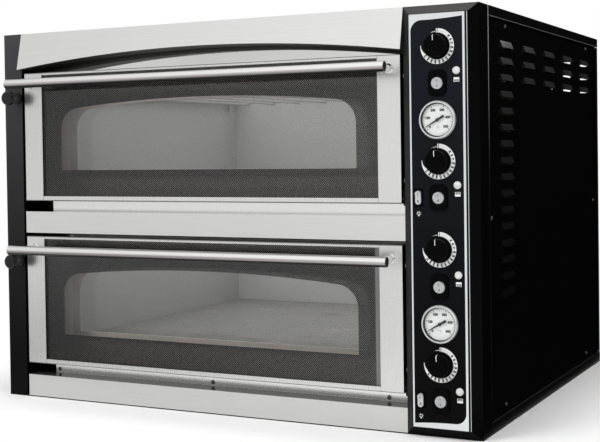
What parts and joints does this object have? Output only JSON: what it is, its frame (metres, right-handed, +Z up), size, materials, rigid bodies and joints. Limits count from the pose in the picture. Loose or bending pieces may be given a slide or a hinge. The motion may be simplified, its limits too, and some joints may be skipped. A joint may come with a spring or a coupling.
{
  "type": "countertop pizza oven",
  "caption": "Stacked deck electric pizza oven with arched-window drop-down glass doors, long bar handles, a leaning hood and a control column of dials, gauges and switches.",
  "frame": {"origin": "bottom centre of the whole oven's box, on the surface it stands on", "axes": "+X to the right seen from the front, +Y from the front to the back, +Z up"},
  "size_m": [1.01, 0.934, 0.735],
  "materials": {
    "black_paint": "satin",
    "satin_steel": "satin",
    "handle_steel": "polished",
    "plain_steel": "satin",
    "control_film": "satin",
    "chamber_steel": "matte",
    "baking_stone": "matte",
    "element_steel": "matte",
    "mineral_wool": "matte",
    "lamp_glass": "gloss",
    "rope_seal": "matte",
    "black_plastic": "satin",
    "thermostat_steel": "satin",
    "gauge_steel": "polished",
    "clear_glass": "gloss",
    "door_glass": "gloss",
    "grey_plastic": "satin",
    "pointer_black": "matte"
  },
  "bodies": {
    "casing": {"base_pan": "black_paint", "left_post": "black_paint", "left_side_panel": "black_paint", "right_side_panel": "black_paint", "top_cover": "black_paint", "back_panel": "black_paint", "hood": "satin_steel", "chamber_front": "satin_steel", "middle_band": "satin_steel", "base_fascia": "satin_steel", "control_bezel": "black_paint", "control_plate": "control_film", "upper_chamber": "chamber_steel", "lower_chamber": "chamber_steel", "upper_stone": "baking_stone", "lower_stone": "baking_stone", "heaters": "element_steel", "insulation": "mineral_wool", "chamber_lamps": "lamp_glass", "door_seals": "rope_seal", "hinge_brackets": "black_paint", "flue_ducts": "chamber_steel", "damper_bushes": "black_plastic", "thermostats": "thermostat_steel", "switch_housings": "black_plastic", "pilot_lamps": "lamp_glass", "thermometer_cases": "gauge_steel", "thermometer_lenses": "clear_glass", "cable_gland": "black_plastic", "screws": "plain_steel"},
    "upper_door": {"upper_door_frame": "satin_steel", "upper_outer_glass": "door_glass", "upper_inner_panel": "satin_steel", "upper_inner_glass": "clear_glass", "upper_handle_bar": "handle_steel", "upper_handle_posts": "handle_steel", "upper_hinge_pins": "plain_steel"},
    "lower_door": {"lower_door_frame": "satin_steel", "lower_outer_glass": "door_glass", "lower_inner_panel": "satin_steel", "lower_inner_glass": "clear_glass", "lower_handle_bar": "handle_steel", "lower_handle_posts": "handle_steel", "lower_hinge_pins": "plain_steel"},
    "upper_damper": {"upper_damper_rod": "plain_steel", "upper_damper_knob": "black_plastic"},
    "lower_damper": {"lower_damper_rod": "plain_steel", "lower_damper_knob": "black_plastic"},
    "upper_top_knob": {"upper_top_knob": "black_plastic"},
    "upper_floor_knob": {"upper_floor_knob": "black_plastic"},
    "lower_top_knob": {"lower_top_knob": "black_plastic"},
    "lower_floor_knob": {"lower_floor_knob": "black_plastic"},
    "upper_top_rocker": {"upper_top_rocker": "grey_plastic"},
    "upper_floor_rocker": {"upper_floor_rocker": "grey_plastic"},
    "lower_top_rocker": {"lower_top_rocker": "grey_plastic"},
    "lower_floor_rocker": {"lower_floor_rocker": "grey_plastic"},
    "upper_light_rocker": {"upper_light_rocker": "grey_plastic"},
    "lower_light_rocker": {"lower_light_rocker": "grey_plastic"},
    "upper_gauge_pointer": {"upper_gauge_pointer": "pointer_black"},
    "lower_gauge_pointer": {"lower_gauge_pointer": "pointer_black"}
  },
  "joints": [
    {"name": "upper_door_hinge", "type": "hinge", "parent": "casing", "child": "upper_door", "pos_m": [-0.046, -0.386, 0.406], "axis": [1, 0, 0], "range_deg": [0, 85]},
    {"name": "lower_door_hinge", "type": "hinge", "parent": "casing", "child": "lower_door", "pos_m": [-0.046, -0.386, 0.077], "axis": [1, 0, 0], "range_deg": [0, 85]},
    {"name": "upper_damper_pull", "type": "slide", "parent": "casing", "child": "upper_damper", "axis": [0, -1, 0], "range_m": [0, 0.05]},
    {"name": "lower_damper_pull", "type": "slide", "parent": "casing", "child": "lower_damper", "axis": [0, -1, 0], "range_m": [0, 0.05]},
    {"name": "upper_top_knob_turn", "type": "hinge", "parent": "casing", "child": "upper_top_knob", "pos_m": [0.4353, -0.411, 0.664], "axis": [0, 1, 0], "range_deg": [0, 300]},
    {"name": "upper_floor_knob_turn", "type": "hinge", "parent": "casing", "child": "upper_floor_knob", "pos_m": [0.4353, -0.411, 0.47], "axis": [0, 1, 0], "range_deg": [0, 300]},
    {"name": "lower_top_knob_turn", "type": "hinge", "parent": "casing", "child": "lower_top_knob", "pos_m": [0.4353, -0.411, 0.321], "axis": [0, 1, 0], "range_deg": [0, 300]},
    {"name": "lower_floor_knob_turn", "type": "hinge", "parent": "casing", "child": "lower_floor_knob", "pos_m": [0.4353, -0.411, 0.126], "axis": [0, 1, 0], "range_deg": [0, 300]},
    {"name": "upper_top_rocker_tip", "type": "hinge", "parent": "casing", "child": "upper_top_rocker", "pos_m": [0.4353, -0.411, 0.602], "axis": [-1, 0, 0], "range_deg": [0, 14]},
    {"name": "upper_floor_rocker_tip", "type": "hinge", "parent": "casing", "child": "upper_floor_rocker", "pos_m": [0.4353, -0.411, 0.409], "axis": [-1, 0, 0], "range_deg": [0, 14]},
    {"name": "lower_top_rocker_tip", "type": "hinge", "parent": "casing", "child": "lower_top_rocker", "pos_m": [0.4353, -0.411, 0.258], "axis": [-1, 0, 0], "range_deg": [0, 14]},
    {"name": "lower_floor_rocker_tip", "type": "hinge", "parent": "casing", "child": "lower_floor_rocker", "pos_m": [0.4353, -0.411, 0.064], "axis": [-1, 0, 0], "range_deg": [0, 14]},
    {"name": "upper_light_rocker_tip", "type": "hinge", "parent": "casing", "child": "upper_light_rocker", "pos_m": [0.399, -0.411, 0.409], "axis": [-1, 0, 0], "range_deg": [0, 14]},
    {"name": "lower_light_rocker_tip", "type": "hinge", "parent": "casing", "child": "lower_light_rocker", "pos_m": [0.399, -0.411, 0.064], "axis": [-1, 0, 0], "range_deg": [0, 14]},
    {"name": "upper_gauge_pointer_turn", "type": "hinge", "parent": "casing", "child": "upper_gauge_pointer", "pos_m": [0.4353, -0.411, 0.54], "axis": [0, 1, 0], "range_deg": [0, 270]},
    {"name": "lower_gauge_pointer_turn", "type": "hinge", "parent": "casing", "child": "lower_gauge_pointer", "pos_m": [0.4353, -0.411, 0.195], "axis": [0, 1, 0], "range_deg": [0, 270]}
  ]
}
